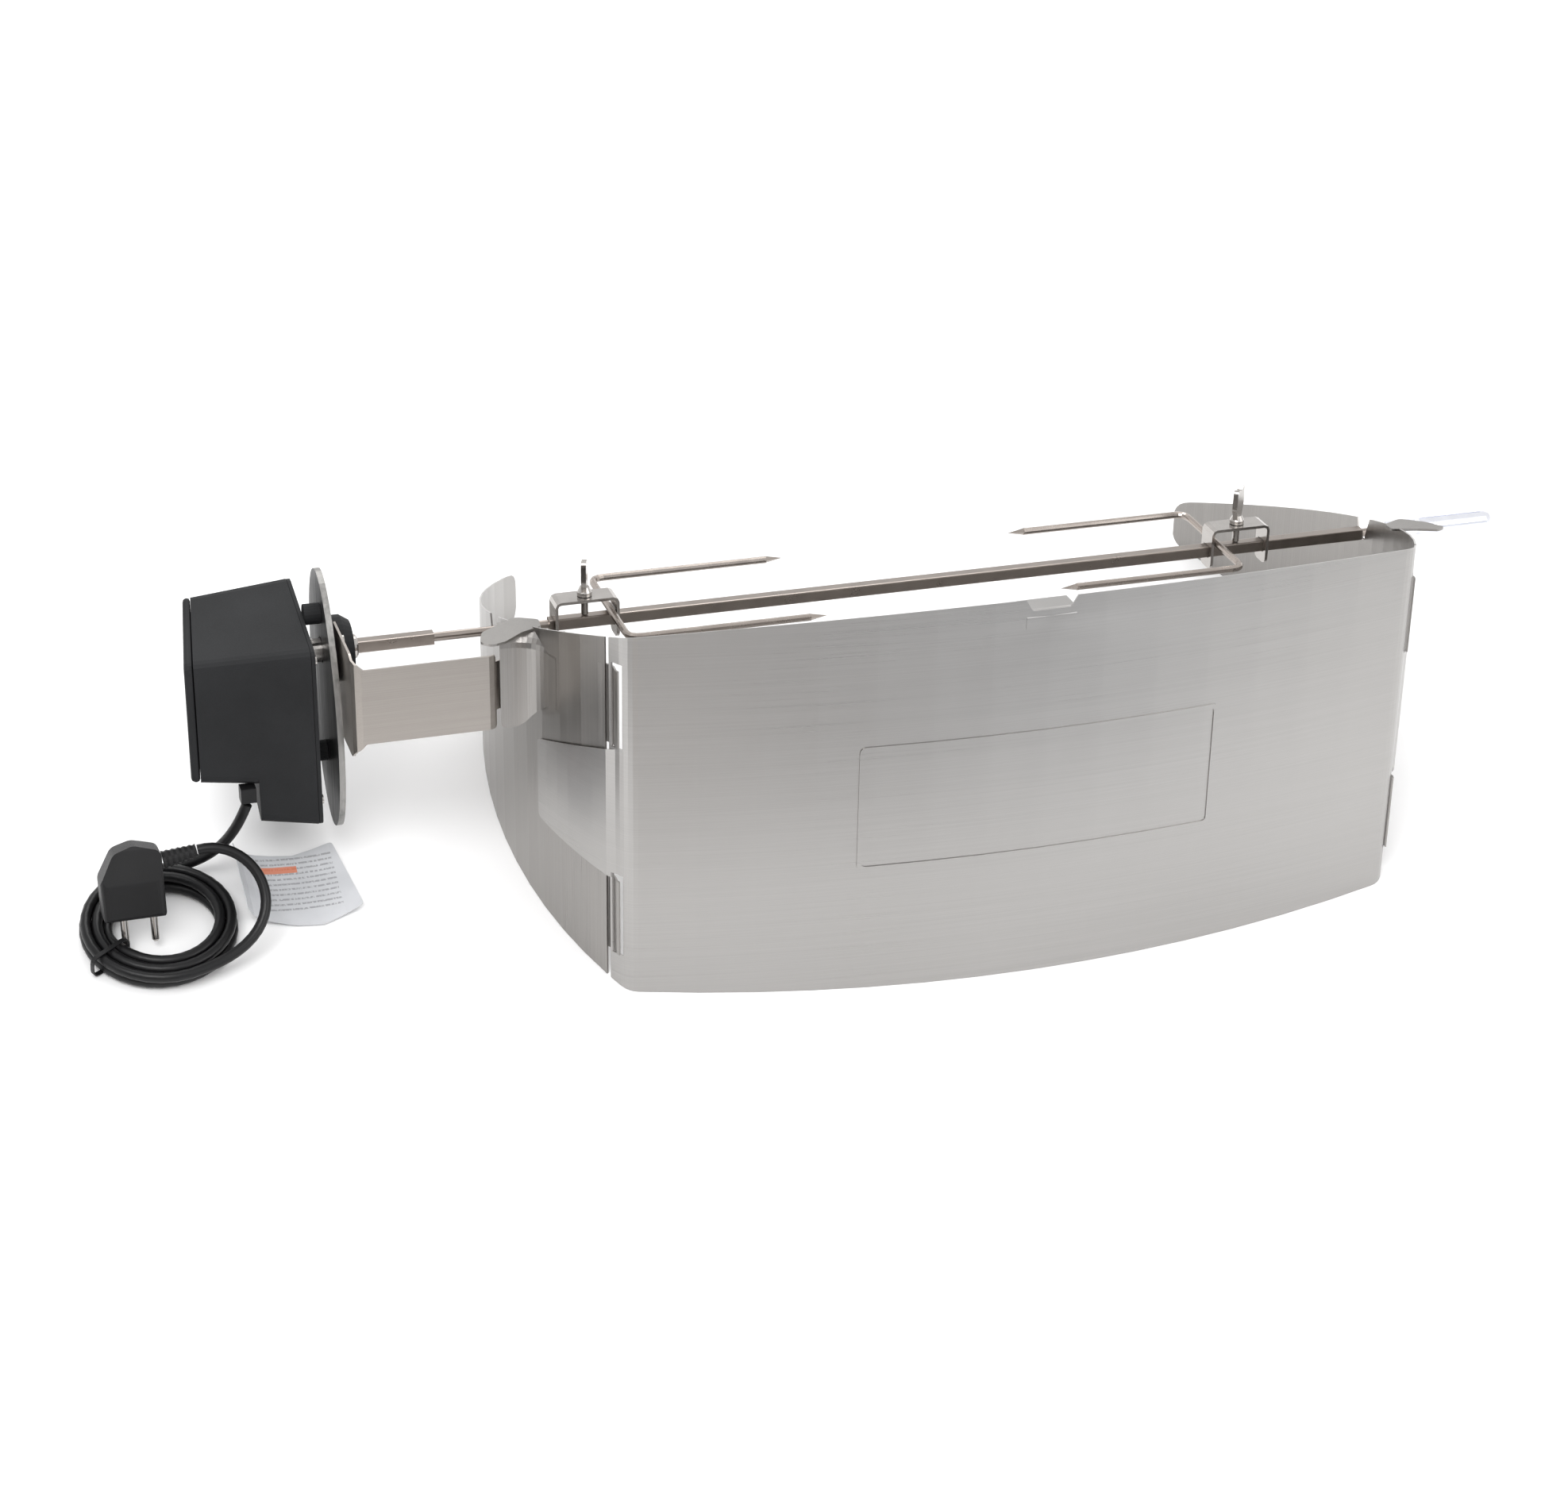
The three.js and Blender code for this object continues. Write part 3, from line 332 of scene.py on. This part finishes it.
FRONT_STEEL = brushed_steel("front_steel", (0.37, 0.36, 0.35), (0.43, 0.42, 0.41), 0.3, (7, 7, 2200))
SIDE_STEEL = brushed_steel("side_steel", (0.29, 0.28, 0.27), (0.36, 0.345, 0.33), 0.3, (1500, 1500, 9))
ARM = brushed_steel("arm_steel", (0.36, 0.33, 0.305), (0.43, 0.40, 0.37), 0.33, (9, 1500, 1500))
SHIELD = shield_steel()
PLATE = plated("bright_plating", (0.44, 0.42, 0.40), 0.2)
ROD = plated("rod_plating", (0.30, 0.265, 0.24), 0.3)
PRONG = plated("prong_plating", (0.36, 0.32, 0.29), 0.24)
HANDLE = plated("handle_plating", (0.78, 0.79, 0.84), 0.22)
HOUSING = moulded("housing_plastic", (0.0075, 0.008, 0.009), 0.66, 2600.0, 0.12)
DARK = moulded("dark_rubber", (0.005, 0.005, 0.0055), 0.45, 1500.0, 0.12)
CABLE = moulded("cable_jacket", (0.004, 0.004, 0.0045), 0.36, 900.0, 0.06)
NYLON = moulded("nylon", (0.74, 0.71, 0.64), 0.45)
BRASS = plated("brass", (0.62, 0.42, 0.16), 0.28)
COPPER = plated("copper_wire", (0.5, 0.24, 0.11), 0.35)
PAPER = paper_finish()

# The finish of each material slot, and the nodes that differ from the rest of their slot.
FINISHES = {
    "surround_steel": SIDE_STEEL,
    "bracket_steel": ARM,
    "shield_steel": SHIELD,
    "plated_steel": PLATE,
    "handle_plating": HANDLE,
    "screw_plating": PLATE,
    "black_plastic": HOUSING,
    "rubber_black": DARK,
    "cord_rubber": CABLE,
    "nylon": NYLON,
    "brass": BRASS,
    "copper": COPPER,
    "paper": PAPER,
}
SPECIAL = {
    "spit_rod": ROD,
    "front_panel": FRONT_STEEL,
    "left_fork_prongs": PRONG,
    "right_fork_prongs": PRONG,
}

# --- cord: one length from the housing, through the coil on the floor, to the plug ---

CORD_RADIUS = 3.5
CORD_EXIT = (-493.5, 120, 108.2)
CORD_EXIT_WAY = (-5, 0, -12)
RUN_PULLS = (32, 40)
RUN_STEPS = 30
COIL_CENTRE = Vector((-556, 105.5, 4.8))
COIL_OUTER = 50.8
COIL_PITCH = 7.3
COIL_LAYER = 7.5
COIL_START = math.radians(92)
COIL_TURNS = 4 + 202 / 360
COIL_CLIMB = 0.2
STEPS_PER_TURN = 34
PLUG_FOOT = Vector((-571, 103, 23))
PLUG_TILT = math.radians(60)
RELIEF_START = Vector((18.7, 34, 0))
RELIEF_WAY = Vector((0.985, 0.17, 0)).normalized()
RELIEF_LENGTH = 22
RELIEF_GAP = 1
TAIL_PULLS = (74, 40)
TAIL_LIFT = Vector((0, 0, 3))
TAIL_STEPS = 24


def smooth(t):
    t = min(max(t, 0.0), 1.0)
    return t * t * (3 - 2 * t)


def coil_point(turn):
    """The coil winds inwards on the floor, climbs one layer, and winds outwards on top of itself."""
    half = (COIL_TURNS - COIL_CLIMB) / 2
    angle = COIL_START + turn * 2 * math.pi
    inward = min(turn, half)
    outward = max(turn - half - COIL_CLIMB, 0)
    radius = COIL_OUTER - COIL_PITCH * (inward - outward)
    rise = COIL_LAYER * smooth((turn - half) / COIL_CLIMB)
    return COIL_CENTRE + Vector((radius * math.cos(angle), radius * math.sin(angle), rise))


def bend(a, b, c, d, count):
    """Points along the cubic curve from a to d that is pulled towards b and c."""
    found = []
    for i in range(count + 1):
        t = i / count
        found.append(a * (1 - t) ** 3 + b * 3 * t * (1 - t) ** 2 + c * 3 * t * t * (1 - t) + d * t ** 3)
    return found


def cord_route():
    coil = [coil_point(i / STEPS_PER_TURN) for i in range(int(COIL_TURNS * STEPS_PER_TURN) + 1)]
    coil[-1] = coil_point(COIL_TURNS)
    start, near = coil[0], coil[-1]
    exit_point = lean(*CORD_EXIT)
    exit_way = lean(*CORD_EXIT_WAY).normalized()
    start_way = Vector((-math.sin(COIL_START), math.cos(COIL_START), 0))
    run_pulls = [exit_point + exit_way * RUN_PULLS[0], start - start_way * RUN_PULLS[1]]
    run = bend(exit_point, *run_pulls, start, RUN_STEPS)
    tilt = Matrix.Rotation(PLUG_TILT, 3, "X")
    far = PLUG_FOOT + tilt @ (RELIEF_START + RELIEF_WAY * (RELIEF_LENGTH + RELIEF_GAP))
    just_before = coil_point(COIL_TURNS - COIL_TURNS / 101)
    near_way = (near - just_before).normalized()
    far_way = tilt @ RELIEF_WAY
    tail_pulls = [near + near_way * TAIL_PULLS[0] + TAIL_LIFT, far + far_way * TAIL_PULLS[1]]
    tail = bend(near, *tail_pulls, far, TAIL_STEPS)[1:]
    return [room(*p) for p in run[:-1] + coil + tail]


def make_cord():
    route = cord_route()
    data = bpy.data.curves.new("power_cord", "CURVE")
    data.dimensions = "3D"
    data.bevel_depth = CORD_RADIUS * MM
    data.bevel_resolution = 4
    data.use_fill_caps = True
    spline = data.splines.new("POLY")
    spline.points.add(len(route) - 1)
    for point, place in zip(spline.points, route):
        point.co = (*place, 1)
    cord = bpy.data.objects.new("power_cord", data)
    bpy.context.scene.collection.objects.link(cord)
    data.materials.append(CABLE)
    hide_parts("cord_run", "cord_coil")
    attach(cord, "surround")


make_cord()

# --- finishes on the CAD pieces ---

SHARP_ANGLE = math.radians(28)
EDGE_ANGLE = math.radians(40)
EDGE_WIDTH = 0.00025


def finish_nodes():
    slots = {row["node"]: row["material_slot"] for row in frame["record"]["subparts"]}
    for name, node in frame["nodes"].items():
        node.data.materials.clear()
        node.data.materials.append(SPECIAL.get(name, FINISHES[slots[name]]))
        for face in node.data.polygons:
            face.use_smooth = True
        node.data.set_sharp_from_angle(angle=SHARP_ANGLE)
        bevel = node.modifiers.new("edge", "BEVEL")
        bevel.width = EDGE_WIDTH
        bevel.segments = 2
        bevel.limit_method = "ANGLE"
        bevel.angle_limit = EDGE_ANGLE
        bevel.harden_normals = True


finish_nodes()

# --- floor, room and lights ---

# Wide enough to fill the photograph's view; its edge shows in some views from behind.
FLOOR_CORNERS = [(-1.05, -0.95), (1.6, -0.95), (5, 5), (-4, 5)]
FLOOR_HEIGHT = -0.0004
FLOOR_COLOUR = (0.95, 0.95, 0.95, 1)

# What the steel reflects: a compass bearing in degrees, 0 towards the front, and the colour there.
ROOM_BANDS = [
    (-180, (0.9, 0.9, 0.9)), (-100, (0.75, 0.75, 0.76)), (-72, (1.0, 1.0, 1.0)), (-48, (0.12, 0.12, 0.13)),
    (-22, (0.62, 0.58, 0.55)), (5, (0.66, 0.66, 0.67)), (25, (0.82, 0.84, 0.87)), (50, (1.0, 1.0, 1.0)),
    (180, (0.9, 0.9, 0.9)),
]
ROOM_STRENGTH = 1.05

# Each light's name, place, aim, size and power.
LIGHTS = [
    ("key", (-1.2, -1.0, 2.4), (0, 0, 0.1), (1.6, 1.2), 42),
    ("fill", (1.8, -1.6, 1.6), (0.1, 0, 0.1), (1.8, 1.4), 20),
    ("back", (0.2, 2.2, 2.0), (0, 0, 0.1), (2.0, 1.0), 26),
]


def make_floor():
    mesh = bpy.data.meshes.new("floor")
    mesh.from_pydata([(x, y, FLOOR_HEIGHT) for x, y in FLOOR_CORNERS], [], [(0, 1, 2, 3)])
    floor = bpy.data.objects.new("floor", mesh)
    bpy.context.scene.collection.objects.link(floor)
    shader = Shader("floor_paper")
    shader.fix("Base Color", FLOOR_COLOUR)
    shader.fix("Roughness", 0.9)
    shader.fix("Specular IOR Level", 0.1)
    mesh.materials.append(shader.material)


def make_room():
    """Surroundings whose brightness changes with the bearing, dim ahead on the left."""
    world = bpy.data.worlds.new("studio")
    world.use_nodes = True
    nodes = Nodes(world.node_tree)
    x, y, _ = nodes.split(nodes.node("ShaderNodeTexCoord").outputs["Generated"])
    bearing = nodes.math("ARCTAN2", x, nodes.math("MULTIPLY", y, -1))
    turn = nodes.spread(bearing, 0.0, 1.0, -math.pi, math.pi)
    stops = [((degrees + 180) / 360, colour) for degrees, colour in ROOM_BANDS]
    background = world.node_tree.nodes["Background"]
    nodes.link(nodes.ramp(turn, stops), background.inputs["Color"])
    background.inputs["Strength"].default_value = ROOM_STRENGTH
    bpy.context.scene.world = world
    bpy.context.scene.view_settings.view_transform = "Standard"


def add_light(name, place, aim, size, power):
    data = bpy.data.lights.new(name, "AREA")
    data.shape = "RECTANGLE"
    data.size, data.size_y = size
    data.energy = power
    light = bpy.data.objects.new(name, data)
    light.location = place
    light.rotation_euler = (Vector(aim) - Vector(place)).to_track_quat("-Z", "Y").to_euler()
    bpy.context.scene.collection.objects.link(light)


make_floor()
make_room()
for light in LIGHTS:
    add_light(*light)
